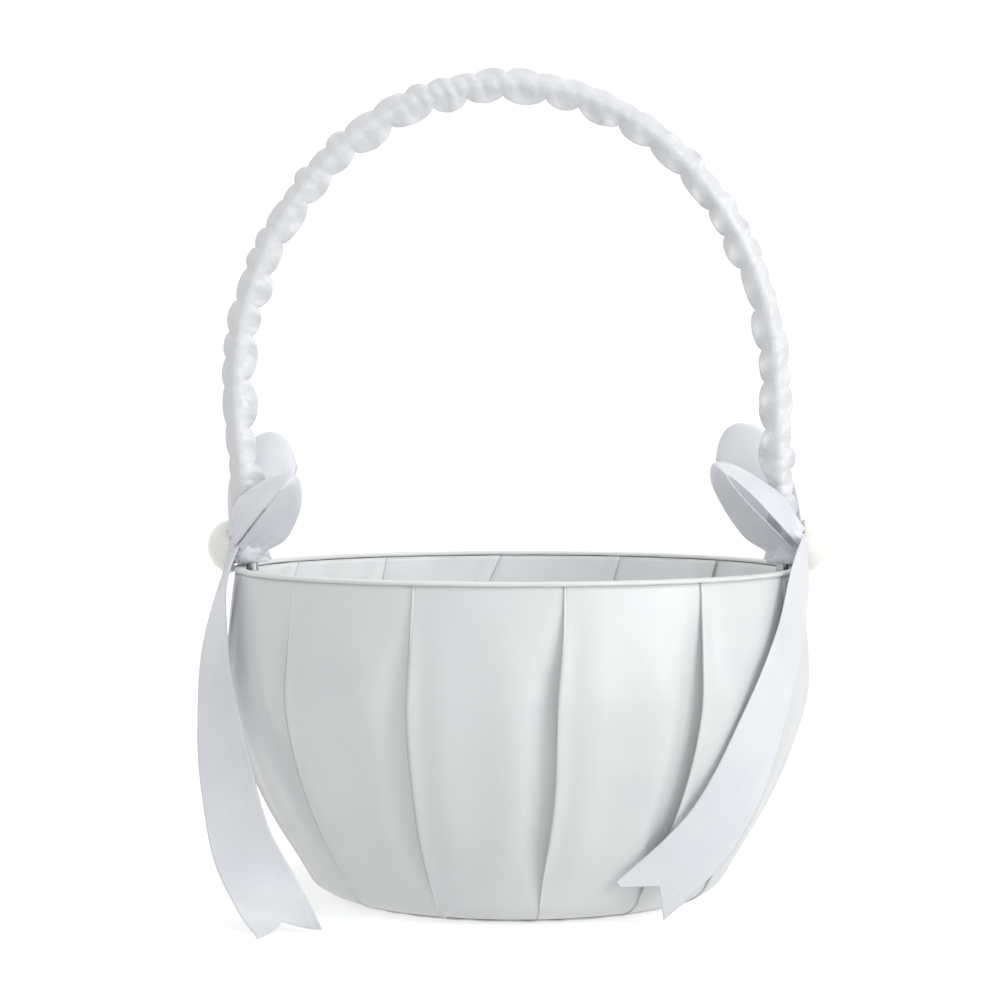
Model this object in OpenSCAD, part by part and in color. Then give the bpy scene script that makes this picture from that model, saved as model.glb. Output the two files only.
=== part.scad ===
// Flower girl basket: a moulded bowl padded and covered in pleated satin, lined with satin, with a
// wire arch handle in a ruched sleeve, and at each end of the handle a ribbon bow with two loops,
// two tails and a flat-backed pearl. Millimetres. The origin is the centre of the foot, +Z is up,
// the handle spans X, and the front of the basket faces -Y.

/* [Body] */
// Height of the satin body below the rim bead
body_h = 84; // [76:0.5:92]
// Outer radius at the rim
rim_r = 73.8; // [72.8:0.1:74.6]
// Outer radius at the widest point
belly_r = 75.8; // [75:0.1:77]
// Height of the widest point
belly_z = 58; // [54:1:62]
// Outer radius where the wall meets the rounded foot
foot_r = 54; // [50:0.5:58]

/* [Handle] */
// Half the arch's widest span, between wire centres
arch_half_w = 70.5; // [70:0.1:71.5]
// Height of the wire's centre at the top of the arch
arch_top = 210.4; // [206:0.1:220]
// Height at which the arch is widest
arch_wide_z = 130.8; // [129:0.1:134]
// Radius of the arc over the top
crown_r = 62.8; // [58:0.1:66]
// How far the hand-bent arch stands off centre, to the right
arch_shift = -3; // [-3.5:0.1:0]
// Lean of the legs inside the wall, in degrees
leg_lean = 1.5; // [1.4:0.1:1.8]
// Diameter of the steel wire
wire_d = 3; // [2:0.2:3]
// Outer diameter of the ruched sleeve
sleeve_d = 7.2; // [6.4:0.2:7.4]

/* [Bows] */
// Width of the satin ribbon
ribbon_w = 16; // [12:1:16]
// Thickness of the ribbon
ribbon_t = 0.6; // [0.5:0.1:0.7]
// Size of the bows' loops, as a share of the usual size
loop_size = 1; // [0.8:0.05:1.05]
// Diameter of the flat-backed pearl
pearl_d = 14; // [10:0.5:14]
// Height of the pearl above its flat back
pearl_h = 6.5; // [5:0.5:6.5]

/* [Hidden] */
$fn = 96;

satin = "ivory";
foot_z = 5;            // top of the rounded foot
disc_t = 1;            // thickness of the base cover disc
turn_t = 0.8;          // satin turned under the bowl
turn_in_r = 36;        // inner edge of the turned satin
wall_curve = 1.6;      // power that shapes the wall below its widest point
// Slope of the wall at the foot, in degrees from upright, and the rounding that carries it on
foot_slope = atan(wall_curve * (belly_r - foot_r) / (belly_z - foot_z));
foot_fillet = (foot_z - disc_t) / (1 - sin(foot_slope));
foot_cx = foot_r - foot_fillet * cos(foot_slope);
core_t = 1.2;          // wall of the moulded bowl
core_floor_t = 1.5;
lining_t = 0.6;
core_z = disc_t + turn_t + 0.05;
floor_z = core_z + core_floor_t;
foam_t = 4;
slack = 0.05;          // gap left between layers of one body
steps = 20;            // rings up the wall
binding_t = 1.6;       // height of the rim bead
wire_r = wire_d / 2;
sleeve_r = sleeve_d / 2;

// ---- Body profile: outer radius of the satin at height z ----
function wall_r(z) = z >= belly_z
  ? belly_r - (belly_r - rim_r) * pow((z - belly_z) / (body_h - belly_z), 2)
  : belly_r - (belly_r - foot_r) * pow((belly_z - z) / (belly_z - foot_z), wall_curve);

// The layers are thin at the rim, where they are sewn, and full from 28 mm below it.
function fullness(z) = sin(90 * min(1, max(0, (body_h - z) / 28)));
function pad_t(z) = 0.1 + 1.1 * fullness(z);
function core_out(z) = wall_r(max(z, foot_z)) - 1 - 2.4 * fullness(z);
function core_in(z) = core_out(z) - core_t;
core_foot_r = core_out(foot_z) - 2.6;
function cover_in(z) = core_out(z) + pad_t(z) + slack;
function lining_out(z) = core_in(z) - 0.4 - fullness(z);
function lining_in(z) = lining_out(z) - lining_t;

// Heights from low to high, and the points of a profile at them
function heights(low, high, n = steps) = [for (i = [0:n]) low + (high - low) * i / n];

// ---- Handle path: an arc over the top, an arc and a straight leg on each side, and below the
// knee at the rim a leg inside the wall. Each side is worked out as if on the right, and side is
// 1 for the right and -1 for the left. ----
knee = [69.3, 86.3];
leg_end_z = 51;
run_on = 0.8;          // how far one piece of the handle runs inside the next, in mm or degrees
step_in = 0.02;        // how much thinner it is there
arch_rise = arch_top - arch_wide_z;
crown_z = arch_top - crown_r;
side_arc_r = (pow(arch_half_w, 2) + pow(arch_rise, 2) - 2 * arch_rise * crown_r)
  / (2 * (arch_half_w - crown_r));
join_a = atan2(crown_z - arch_wide_z, side_arc_r - arch_half_w);
function arc_x(side) = arch_half_w - side_arc_r + side * arch_shift;
function arc_to_knee(side) = knee - [arc_x(side), arch_wide_z];
// Angle at which the side arc hands over to the leg, which runs on to the knee as its tangent
function leg_a(side) = let (v = arc_to_knee(side))
  atan2(v[1], v[0]) + acos(side_arc_r / norm(v));
function leg_len(side) = let (v = arc_to_knee(side)) sqrt(v * v - pow(side_arc_r, 2));
function leg_x(side, z) = z > knee[1]
  ? knee[0] - (z - knee[1]) * tan(leg_a(side))
  : knee[0] - (knee[1] - z) * tan(leg_lean);
sleeve_end_z = knee[1] + 0.1;

// ---- Bow places, on the right-hand side ----
knot_z = 90;
knot_h = 7;
knot_r = sleeve_r + 0.6;
gather = [71.5, 7.4];  // centre of the gathered ribbon behind the pearl, and half its length
gather_d = 5.6;
pearl_back_x = 74.4;
pinch_w = 5;           // width of the ribbon where it is gathered at the knot
notch = 7;             // depth of the swallowtail cut
skew = 2;              // how far one point of a draped tail runs past the middle, and one falls short

function unit(v) = v / norm(v);
// The part of v square to the unit vector n, as a unit vector
function square_to(v, n) = unit(v - n * (v * n));
function flip_x(v) = [-v[0], v[1], v[2]];

// Catmull-Rom curve through points p, at share f of the way along
function spline(p, f) = let (
    n = len(p) - 1, i = min(floor(f * n), n - 1), u = f * n - i,
    a = p[max(i - 1, 0)], b = p[i], c = p[i + 1], d = p[min(i + 2, n)])
  0.5 * (2 * b + (c - a) * u + (2 * a - 5 * b + 4 * c - d) * u * u
    + (3 * b - a - 3 * c + d) * u * u * u);

// Routes of the tails: x, y and z of the middle of the ribbon, and which way its face looks, as
// degrees from +X towards +Y and degrees upwards. The draped tail lies over the rim and down the
// side of the body.
draped_route = [
  [74, -9.3, 89.2, -10, 0], [73.1, -20.3, 87.4, -17, 0], [70.2, -29.2, 80, -24, 0],
  [67.2, -37.5, 68.5, -30, 0], [63, -45.3, 57, -38, 0], [58.6, -49.7, 46.3, -48, 0],
  [53.4, -52, 34.4, -57, 0], [47.2, -53, 24, -62, 0], [39.8, -53.6, 15.9, -64, 0],
  [28.8, -53, 6, -66, 0]
];
// The hanging tail springs forward, clear of the body, and ends flat on the ground.
hanging_route = [
  [-73.4, -9.3, 89.2, -170, 0], [-76, -19, 77.5, -162, 0], [-76.2, -29, 62, -146, 0],
  [-74, -37.5, 47, -128, 0], [-70.6, -45, 31.5, -115, 0], [-66.8, -50.5, 19.5, -102, 8],
  [-60.8, -54.5, 9, -90, 25], [-56.6, -58.8, 3.4, -82, 45], [-54, -64.7, 0.9, -76, 62]
];
tail_rings = 26;

// Width of a tail at share f of its length: gathered at the knot, full a quarter of the way down
function tail_w(f) = pinch_w + (ribbon_w - pinch_w) * sin(90 * min(1, f / 0.25));
function xyz(q) = [q[0], q[1], q[2]];
function tail_ring(route, f, lop) = let (
    e = 0.01, q = spline(route, f), p = xyz(q),
    run = unit(xyz(spline(route, min(1, f + e)) - spline(route, max(0, f - e)))),
    wide = unit(cross([cos(q[3]) * cos(q[4]), sin(q[3]) * cos(q[4]), sin(q[4])], run)),
    side = wide * tail_w(f) / 2,
    face = cross(wide, run) * ribbon_t / 2,
    cut = f > 0.99 ? 1 : 0, m = p - run * notch * cut, a = p - side + run * lop * cut,
    b = p + side - run * lop * cut)
  [a - face, m - face, b - face, b + face, m + face, a + face];

// A loop: the ribbon leaves the knot, runs out to the tip and comes back in a teardrop
// x = L (1 - cos t) / 2, y = H sin t sin(t / 2) + G cos(t / 2), with t from 0 to 360 degrees and
// G keeping the two layers apart at the knot.
// The width leans towards across, by lean on the whole and by flare more on the way out and less
// on the way back, and the edges turn back from the tip by bow, which makes it a petal.
loop_rings = 26;
layer_gap = ribbon_t / 2 + 0.15;
function loop_xy(t, long, open) =
  [long * (1 - cos(t)) / 2, open * sin(t) * sin(t / 2) + layer_gap * cos(t / 2)];
function loop_ring(f, base, tip, up, open, lean, flare, bow) = let (
    first = 16, t = first + (360 - 2 * first) * f, e = 0.5,
    long = norm(tip - base), out = (tip - base) / long, across = square_to(up, out),
    q = loop_xy(t, long, open), dq = loop_xy(t + e, long, open) - loop_xy(t - e, long, open),
    run = unit(out * dq[0] + across * dq[1]),
    wide = square_to(cross(out, across) + across * (lean + flare * cos(t / 2)), run),
    p = base + out * q[0] + across * q[1],
    w = wide * (pinch_w + (ribbon_w - pinch_w) * sin(min(90, 150 * q[0] / long))) / 2,
    a = p - out * bow * pow(q[0] / long, 2),
    face = cross(run, wide) * ribbon_t / 2)
  [a - w - face, p - face, a + w - face, a + w + face, p + face, a - w + face];

// A closed strip through rings of six points: lower left, middle, right, upper right, middle, left
module strip(rings) {
  n = len(rings);
  last = 6 * (n - 1);
  caps = [[0, 1, 4], [0, 4, 5], [1, 2, 3], [1, 3, 4]];
  polyhedron(
    points = [for (r = rings) each r],
    faces = concat(
      [for (i = [0:n - 2], j = [0:5]) let (a = 6 * i + j, b = 6 * i + (j + 1) % 6)
        each [[a, b, b + 6], [a, b + 6, a + 6]]],
      [for (c = caps) [c[2], c[1], c[0]]],
      [for (c = caps) [c[0] + last, c[1] + last, c[2] + last]]
    ),
    convexity = 6
  );
}

// A solid of revolution between an inner and an outer profile, each a list of [radius, height]
module turned(outer, inner) rotate_extrude() polygon(concat(outer, [
  for (i = [len(inner) - 1:-1:0]) inner[i]
]));

// Everything closer to the axis than the profile, up to a height
module inside_of(profile) rotate_extrude() polygon(concat(
  [[0, profile[0][1]]], profile, [[0, profile[len(profile) - 1][1]]]
));

// A round rod of radius r inside the wall on the right, from the knee down to height z
module wall_leg(r, z) translate([knee[0], 0, knee[1]]) rotate([0, 180 + leg_lean, 0])
  cylinder(r = r, h = (knee[1] - z) / cos(leg_lean));

// The rod from the widest point of the arch to the knee, and on by extra
module upper_leg(side, r, extra = 0) translate([knee[0], 0, knee[1]])
  rotate([0, -leg_a(side), 0]) translate([0, 0, -extra])
    cylinder(r = r, h = leg_len(side) + extra + run_on);
module arc(x, z, arc_r, start, sweep, r) translate([x, 0, z]) rotate([90, 0, 0])
  rotate([0, 0, start]) rotate_extrude(angle = sweep) translate([arc_r, 0]) circle(r = r);

// The arch above the knees: each piece runs on inside a slightly thicker neighbour
module arch(r, extra = 0) {
  arc(arch_shift, crown_z, crown_r, join_a, 180 - 2 * join_a, r);
  for (side = [-1, 1]) on_side(side) {
    arc(arc_x(side), arch_wide_z, side_arc_r, leg_a(side), join_a - leg_a(side) + run_on, r - step_in);
    upper_leg(side, r - 2 * step_in, extra);
  }
}
module on_side(side) mirror([side < 0 ? 1 : 0, 0, 0]) children();
module both_sides() for (side = [-1, 1]) on_side(side) children();

// ---- Body ----
module bowl_core() color("gainsboro") turned(
  concat(
    [[0, core_z], [core_foot_r, core_z]],
    [for (z = heights(foot_z, body_h - 0.4)) [core_out(z), z]]
  ),
  concat(
    [[0, floor_z], [core_in(foot_z) - 1.5, floor_z]],
    [for (z = heights(foot_z + 0.8, body_h - 0.4)) [core_in(z), z]]
  )
);
module wall_padding() color("whitesmoke") turned(
  [for (z = heights(foot_z + 1, body_h - 4)) [core_out(z) + pad_t(z), z]],
  [for (z = heights(foot_z + 1, body_h - 4)) [core_out(z) + slack / 2, z]]
);
module outer_cover() color(satin) turned(
  concat(
    [[turn_in_r, disc_t]],
    [for (i = [0:7]) let (a = (90 - foot_slope) * i / 8)
      [foot_cx + foot_fillet * sin(a), disc_t + foot_fillet * (1 - cos(a))]],
    [for (z = heights(foot_z, body_h)) [wall_r(z), z]]
  ),
  concat(
    [[turn_in_r, disc_t + turn_t], [core_foot_r, disc_t + turn_t]],
    [for (z = heights(foot_z, body_h)) [cover_in(z), z]]
  )
);
module base_cover() color("white") cylinder(r = foot_cx, h = disc_t);
module leg_casing(r) intersection() {
  both_sides() wall_leg(r, 4);
  inside_of([for (z = heights(floor_z + 0.1, body_h)) [lining_out(z), z]]);
}
module inner_lining() color(satin) difference() {
  union() {
    turned(
      [for (z = heights(floor_z + 0.1, body_h)) [lining_out(z), z]],
      [for (z = heights(floor_z + 0.1, body_h)) [lining_in(z), z]]
    );
    intersection() {
      leg_casing(wire_r + 1.5);
      translate([-100, -100, leg_end_z - 3]) cube([200, 200, 100]);
    }
  }
  both_sides() wall_leg(wire_r + 0.9, leg_end_z - 2);
}
module floor_foam() color("gainsboro") translate([0, 0, floor_z + slack])
  cylinder(r = lining_in(foot_z) - 1.4, h = foam_t);
module floor_cover() color(satin) translate([0, 0, floor_z + slack]) difference() {
  cylinder(r = lining_in(foot_z) - 0.6, h = foam_t + 0.7);
  translate([0, 0, -1]) cylinder(r = lining_in(foot_z) - 1.3, h = foam_t + 1.1);
}
module rim_binding() color(satin) difference() {
  translate([0, 0, body_h + binding_t / 2]) rotate_extrude() {
    translate([lining_in(body_h) + binding_t / 2, 0]) circle(d = binding_t);
    translate([rim_r + 0.2 - binding_t / 2, 0]) circle(d = binding_t);
    translate([lining_in(body_h) + binding_t / 2, -binding_t / 2])
      square([rim_r + 0.2 - lining_in(body_h) - binding_t, binding_t]);
  }
  both_sides() wall_leg(wire_r + 0.1, leg_end_z);
}

// ---- Handle ----
module handle_wire() color("silver") {
  arch(wire_r);
  both_sides() {
    translate([knee[0], 0, knee[1]]) sphere(r = wire_r + step_in);
    wall_leg(wire_r, leg_end_z);
  }
}
module handle_sleeve() color(satin) difference() {
  arch(sleeve_r);
  arch(wire_r + 0.1, 5);
}
strap_low = 55;
strap_h = 9;
module right_leg_strap() color("white") intersection() {
  translate([60, -7, strap_low]) cube([20, 14, strap_h]);
  inside_of([for (z = heights(40, 80)) [core_in(z) - slack, z]]);
  difference() {
    union() {
      wall_leg(wire_r + 0.6, leg_end_z);
      turned([for (z = heights(40, 80)) [core_in(z), z]], [for (z = heights(40, 80)) [core_in(z) - 0.6, z]]);
    }
    wall_leg(wire_r + slack, leg_end_z - 5);
  }
}
module left_leg_strap() mirror([1, 0, 0]) right_leg_strap();
// Two staples hold each strap: a crown on the strap and two legs through the bowl
staple_d = 0.5;
module staple(side, y) {
  wall = core_in(strap_low + strap_h / 2);
  x = sqrt(wall * wall - y * y) - 0.6 - staple_d / 2;
  for (z = [strap_low + 2, strap_low + 7]) translate([side * x, y, z]) rotate([0, side * 90, 0])
    cylinder(d = staple_d, h = core_t + 0.7);
  translate([side * x, y, strap_low + 2 - staple_d / 2]) cylinder(d = staple_d, h = 5 + staple_d);
}
module leg_staples() color("gray") for (side = [-1, 1], y = [-4.8, 4.8]) staple(side, y);

// ---- Bows ----
module bow_knot(side) color(satin) on_side(side) difference() {
  union() {
    translate([leg_x(side, knot_z), 0, knot_z]) rotate([0, -leg_a(side), 0])
      translate([0, 0, -knot_h / 2]) cylinder(r = knot_r, h = knot_h);
    translate([gather[0], gather[1], knot_z]) rotate([90, 0, 0])
      cylinder(d = gather_d, h = 2 * gather[1]);
    translate([gather[0], 0, knot_z]) rotate([0, 90, 0]) cylinder(d = 8, h = pearl_back_x - gather[0]);
  }
  upper_leg(side, sleeve_r + slack, 10);
}
module left_bow_knot() bow_knot(-1);
module right_bow_knot() bow_knot(1);
module pearl(side) color("linen") on_side(side) intersection() {
  translate([pearl_back_x + pearl_h - pearl_d / 2, 0, knot_z]) sphere(d = pearl_d);
  translate([pearl_back_x, -pearl_d, knot_z - pearl_d]) cube([pearl_d, 2 * pearl_d, 2 * pearl_d]);
}
module left_pearl() pearl(-1);
module right_pearl() pearl(1);

module bow_loop(base, tip, up, open, lean, flare, bow) color(satin)
  strip([for (i = [0:loop_rings]) loop_ring(
    i / loop_rings, base, base + loop_size * (tip - base), up, open, lean, flare, bow)]);
module right_bow_front_loop()
  bow_loop([71.6, -7.8, 92], [50, -14.8, 111.5], [1, 0, 1], 5.2, 0.4, 0.1, 2);
module left_bow_front_loop()
  bow_loop([-72.4, -7.6, 92.4], [-55.6, -14, 108.8], [-1, 0, 1], 6.4, 0, -1.08, 2);
module right_bow_rear_loop()
  bow_loop([71.8, 7, 93], [58.6, 16, 120.5], [0, -1, 0], 5, 0, 0, 6);
module left_bow_rear_loop()
  bow_loop([-72.2, 7, 93], [-64.4, 15, 118.5], [0, -1, 0], 5, 0, 0, 6);

module tail(route, lop = skew) color(satin)
  strip([for (i = [0:tail_rings]) tail_ring(route, i / tail_rings, lop)]);
module right_front_tail() tail(draped_route);
module right_rear_tail() mirror([0, 1, 0]) tail(draped_route);
module left_rear_tail() rotate([0, 0, 180]) tail(draped_route);
module left_front_tail() tail(hanging_route, 0);

bowl_core();
wall_padding();
outer_cover();
base_cover();
inner_lining();
floor_foam();
floor_cover();
rim_binding();
handle_wire();
handle_sleeve();
left_leg_strap();
right_leg_strap();
leg_staples();
left_bow_front_loop();
left_bow_rear_loop();
left_bow_knot();
left_pearl();
left_front_tail();
left_rear_tail();
right_bow_front_loop();
right_bow_rear_loop();
right_bow_knot();
right_pearl();
right_front_tail();
right_rear_tail();
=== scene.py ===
"""White satin flower basket: its cloth, ribbons and pearls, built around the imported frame."""

import math

import bmesh
import bpy
import numpy as np
from bpy.props import FloatProperty, FloatVectorProperty, IntProperty, PointerProperty
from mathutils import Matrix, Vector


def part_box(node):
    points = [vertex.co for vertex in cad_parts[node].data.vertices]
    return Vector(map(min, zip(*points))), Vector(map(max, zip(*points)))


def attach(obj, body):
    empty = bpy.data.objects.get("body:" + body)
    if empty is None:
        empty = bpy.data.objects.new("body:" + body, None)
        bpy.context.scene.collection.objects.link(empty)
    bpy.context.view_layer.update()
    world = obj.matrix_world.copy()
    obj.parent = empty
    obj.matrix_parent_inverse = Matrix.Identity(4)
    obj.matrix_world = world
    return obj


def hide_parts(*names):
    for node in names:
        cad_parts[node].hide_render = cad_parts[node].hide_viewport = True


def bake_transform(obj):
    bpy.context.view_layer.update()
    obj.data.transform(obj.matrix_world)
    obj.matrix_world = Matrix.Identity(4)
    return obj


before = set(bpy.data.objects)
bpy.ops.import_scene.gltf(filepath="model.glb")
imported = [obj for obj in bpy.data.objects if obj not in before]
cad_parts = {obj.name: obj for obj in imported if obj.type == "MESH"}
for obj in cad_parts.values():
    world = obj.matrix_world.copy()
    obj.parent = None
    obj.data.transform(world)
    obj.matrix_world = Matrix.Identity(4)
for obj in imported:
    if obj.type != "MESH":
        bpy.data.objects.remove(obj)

bl_info = {
    "name": "Satin Flower Basket",
    "version": (1, 0, 0),
    "blender": (4, 5, 0),
    "location": "3D View > Sidebar > Basket",
    "description": "Makes the cloth, ribbon bows and pearls of a satin flower basket",
    "category": "Add Mesh",
}

MM = 0.001
TAU = 2 * math.pi


# ---------------------------------------------------------------- sizes taken from the frame
def top_of(node):
    """Height of the highest point of a node."""
    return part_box(node)[1][2]


def reach_of(node):
    """How far a node reaches along X."""
    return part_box(node)[1][0]


BODY_H = top_of("outer_cover")  # top of the satin body
RIM_TOP = top_of("rim_binding")
BELLY_R = reach_of("outer_cover")
RIM_R = reach_of("rim_binding") - 0.2 * MM
BASE_R = reach_of("base_cover")
BASE_T = top_of("base_cover")
PAD_R = reach_of("floor_cover")
PAD_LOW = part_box("floor_foam")[0][2]
PAD_TOP = top_of("floor_cover")
PEARL_OUT = reach_of("right_pearl")
PEARL_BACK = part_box("right_pearl")[0][0]
PEARL_R = (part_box("right_pearl")[1][1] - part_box("right_pearl")[0][1]) / 2
KNOT_Z = (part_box("right_pearl")[1][2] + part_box("right_pearl")[0][2]) / 2

# ---------------------------------------------------------------- the basket's own dimensions
FOOT_Z = 5 * MM
FOOT_R = 54 * MM
BELLY_Z = 58 * MM
WALL_CURVE = 1.6
TURN_IN_R = 36 * MM
CORE_T = 1.2 * MM
FOLDS = 13
RIBBON_W = 16 * MM
RIBBON_T = 0.28 * MM
PINCH_W = 7 * MM  # width of a tail at the knot
LOOP_PINCH_W = 8 * MM
NOTCH = 7 * MM  # depth of the swallowtail cut
SKEW = 2 * MM  # how far one point of a draped tail runs past the middle, and one falls short
KNOT_WIDE, KNOT_HIGH, KNOT_LONG = 5.1 * MM, 4.15 * MM, 10.8 * MM  # half sizes of the gathered ribbon
KNOT_X = 70.6 * MM
LEG_ROOM = 4.95 * MM  # radius kept free round the handle's leg by the gathered ribbon

KNEE = np.array([69.3, 86.3]) * MM
ARCH_HALF_W, ARCH_TOP, ARCH_WIDE_Z = 70.5 * MM, 210.4 * MM, 130.8 * MM
CROWN_R, ARCH_SHIFT = 62.8 * MM, -3 * MM
LEG_LEAN = math.radians(1.5)
LEG_SLOPE = {1: 0.0388, -1: -0.103}  # how far each leg leans in above its knee, per unit of height
SLEEVE_LOW = 0.6 * MM  # how far the sleeve runs on below the knees, down to the rim

CAMERA_PLACE, CAMERA_DOWN = (0, -0.68, 0.123), math.radians(1.76)
CAMERA_LENS, CAMERA_SHIFT = 93.74, -0.0175
# Each light: name, place, width and height, and power in watts
LIGHTS = (
    ("Key", (1.0, -0.7, 0.5), (0.9, 0.9), 7.5),
    ("Strip", (-0.2, -0.95, 0.35), (0.08, 0.8), 0.8),
    ("Top", (0.1, 0.2, 1.2), (1.1, 1.1), 3.2),
)
SKY = 0.64  # strength of the even light from all round


class BasketCloth(bpy.types.PropertyGroup):
    """Sizes of the folds and puckers"""

    fold_rise: FloatProperty(
        name="Fold rise", description="How far a pleat's folded edge stands proud",
        default=1.1 * MM, min=0, max=2 * MM, unit="LENGTH",
    )
    fold_valley: FloatProperty(
        name="Fold valley", description="Depth of the hollow beside a folded edge",
        default=2.0 * MM, min=0, max=2.1 * MM, unit="LENGTH",
    )
    ruffle: FloatProperty(
        name="Ruffle", description="Size of the lobes along the handle sleeve, as a share of the usual",
        default=1.0, min=0, max=1.4,
    )
    cloth_t: FloatProperty(
        name="Satin thickness", description="Thickness of the satin",
        default=0.3 * MM, min=0.1 * MM, max=0.8 * MM, unit="LENGTH",
    )
    pad_puff: FloatProperty(
        name="Pad puff", description="Most that the floor pad swells when it is filled",
        default=1.2 * MM, min=0, max=4 * MM, unit="LENGTH",
    )
    seed: IntProperty(
        name="Seed", description="Sets the hand-made irregularities", default=7, min=0,
    )


def colour_setting(name, description, *default):
    return FloatVectorProperty(
        name=name, description=description, subtype="COLOR", size=3, default=default, min=0, max=1,
    )


class BasketColours(bpy.types.PropertyGroup):
    """Colours of the cloth and the pearls"""

    satin: colour_setting("Satin", "Colour of the body's satin", 0.775, 0.79, 0.79)
    satin_shade: colour_setting(
        "Satin shade", "Colour of the satin where its nap looks away", 0.72, 0.74, 0.75)
    # Painted light: the lining's colour is set lighter than the body's satin, standing for the light
    # that falls inside the bowl.
    lining: colour_setting("Lining", "Colour of the lining's satin", 0.86, 0.875, 0.885)
    # Partly painted shade: the handle's satin colour is set a little darker and cooler than the body's,
    # standing for the shade in the sleeve's gathers.
    sleeve: colour_setting("Sleeve", "Colour of the handle's satin", 0.755, 0.77, 0.79)
    ribbon: colour_setting("Ribbon", "Colour of the ribbon", 0.80, 0.82, 0.85)
    ribbon_shade: colour_setting(
        "Ribbon shade", "Colour of the ribbon between its ribs", 0.71, 0.73, 0.78)
    pearl: colour_setting("Pearl", "Colour of the pearls", 0.97, 0.95, 0.90)
    floor: colour_setting(
        "Studio floor", "Colour of the floor and the wall behind", 0.93, 0.93, 0.93)


# ---------------------------------------------------------------- smooth hand-made variation
def waves(seed, count, low, high):
    """Rows of frequency, phase and share: the terms of a sum of sines that stands for hand work."""
    rng = np.random.default_rng(seed)
    freq = rng.uniform(low, high, count)
    return np.stack([freq, rng.uniform(0, TAU, count), rng.dirichlet(np.ones(count))], axis=1)


def wander(x, terms):
    """Sum over the terms of share times sin(frequency x + phase): it stays within -1 to 1."""
    x = np.asarray(x, float)[..., None]
    return (terms[:, 2] * np.sin(terms[:, 0] * x + terms[:, 1])).sum(axis=-1)


def ease(x):
    """0 below 0, 1 above 1, and x x (3 - 2 x) between."""
    x = np.clip(x, 0, 1)
    return x * x * (3 - 2 * x)


# ---------------------------------------------------------------- profile of the body
def wall_r(z):
    """Outer radius of the satin: a parabola above the widest point, a power curve below it."""
    z = np.maximum(z, FOOT_Z)
    rise = (z - BELLY_Z) / (BODY_H - BELLY_Z)
    drop = np.maximum(BELLY_Z - z, 0) / (BELLY_Z - FOOT_Z)
    above = BELLY_R - (BELLY_R - RIM_R) * rise**2
    return np.where(z >= BELLY_Z, above, BELLY_R - (BELLY_R - FOOT_R) * drop**WALL_CURVE)


def fullness(z):
    """How thick the wall's layers are, from 0 at the rim to 1 at 28 mm below it: a quarter sine."""
    return np.sin(np.pi / 2 * np.clip((BODY_H - z) / (28 * MM), 0, 1))


def core_out(z):
    """Outer radius of the moulded bowl: the wall less 1 mm and 2.4 mm of fullness."""
    return wall_r(z) - (1 + 2.4 * fullness(z)) * MM


def lining_in(z):
    """Inner radius of the lining: the bowl less its own wall, a gap, and the lining."""
    return core_out(z) - CORE_T - (1 + fullness(z)) * MM


# ---------------------------------------------------------------- meshes
def grid_faces(rows, cols, closed_rows=False, closed_cols=False):
    """Quads between neighbouring points of a rows by cols grid, the last joined to the first where
    closed."""
    i = np.arange(rows if closed_rows else rows - 1)[:, None]
    j = np.arange(cols if closed_cols else cols - 1)[None, :]
    a, b = (i % rows) * cols, ((i + 1) % rows) * cols
    k, m = j % cols, (j + 1) % cols
    return np.stack([a + k, a + m, b + m, b + k], axis=-1).reshape(-1, 4)


def surface(name, points, uv=None, closed_rows=False, closed_cols=False, caps=False, flip=False):
    """A smooth mesh through a grid of points. uv is in metres over the cloth. Each end row is
    capped with a fan to its own middle where caps is true."""
    rows, cols = points.shape[:2]
    verts = points.reshape(-1, 3)
    quads = grid_faces(rows, cols, closed_rows, closed_cols)
    faces = [quads[:, ::-1] if flip else quads]
    grid_uv = np.zeros((rows * cols, 2)) if uv is None else uv.reshape(-1, 2)
    if caps:
        ring = np.arange(cols)
        after = (ring + 1) % cols
        first, last = rows * cols, rows * cols + 1
        verts = np.concatenate([verts, points[:1].mean(axis=1), points[-1:].mean(axis=1)])
        grid_uv = np.concatenate([grid_uv, grid_uv[:1], grid_uv[-1:]])
        low = np.stack([np.full(cols, first), after, ring], axis=1)
        high = np.stack([np.full(cols, last), first - cols + ring, first - cols + after], axis=1)
        faces += [low[:, ::-1], high[:, ::-1]] if flip else [low, high]
    mesh = bpy.data.meshes.new(name)
    mesh.from_pydata(verts.tolist(), [], sum((f.tolist() for f in faces), []))
    if uv is not None:
        corner = np.empty(len(mesh.loops), np.int32)
        mesh.loops.foreach_get("vertex_index", corner)
        corner_uv = grid_uv[corner]
        if closed_cols:
            corner_uv = mend_seam(corner_uv, corner, rows, cols)
        layer = mesh.uv_layers.new(name="Cloth")
        layer.data.foreach_set("uv", corner_uv.astype(np.float32).ravel())
    mesh.shade_smooth()
    mesh.validate()
    piece = bpy.data.objects.new(name, mesh)
    bpy.context.scene.collection.objects.link(piece)
    return piece


def mend_seam(corner_uv, corner, rows, cols):
    """In the last column of quads, the points of the first column get a U one step past the last
    one's, so that the cloth's pattern runs on across the seam."""
    count = (rows - 1) * cols * 4
    uv = corner_uv[:count].reshape(rows - 1, cols, 4, 2)
    u = uv[:, -1, :, 0]
    step = np.ptp(uv[:, 1, :, 0], axis=1)
    past = (u.max(axis=1) + step)[:, None]
    first_column = corner[:count].reshape(rows - 1, cols, 4)[:, -1] % cols == 0
    uv[:, -1, :, 0] = np.where(first_column, past, u)
    return corner_uv


def thicken(piece, thickness, offset=-1.0):
    """Gives a sheet its thickness."""
    solid = piece.modifiers.new("Thickness", "SOLIDIFY")
    solid.thickness = thickness
    solid.offset = offset
    solid.use_even_offset = False


def turned(r, a, z):
    """Points at radius r, azimuth a and height z."""
    return np.stack(np.broadcast_arrays(r * np.cos(a), r * np.sin(a), z), axis=-1)


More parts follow.
